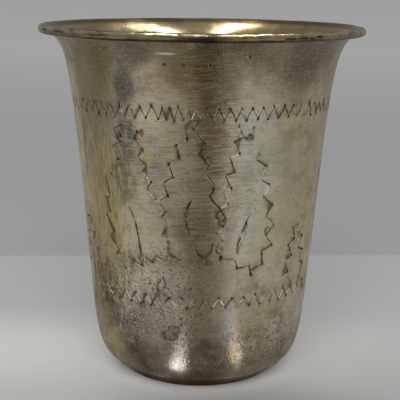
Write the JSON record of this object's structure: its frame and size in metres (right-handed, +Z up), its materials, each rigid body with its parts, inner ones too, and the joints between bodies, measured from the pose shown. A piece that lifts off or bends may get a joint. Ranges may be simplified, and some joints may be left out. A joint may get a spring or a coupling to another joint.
{
  "type": "kiddush cup",
  "caption": "Small silver kiddush beaker: flat base, rounded lower corner, tapering wall, flared mouth with a rolled edge, hollow and open at the top.",
  "frame": {"origin": "centre of the flat underside", "axes": "+Z up along the cup's own axis; -Y is the side shown towards the viewer"},
  "size_m": [0.0598, 0.06, 0.065],
  "materials": {
    "silver": "old tarnished silver, satin, with fine scratches around it, engraved lines, and a worn gilt wash inside"
  },
  "bodies": {
    "root": {"cup": "silver"}
  },
  "joints": []
}
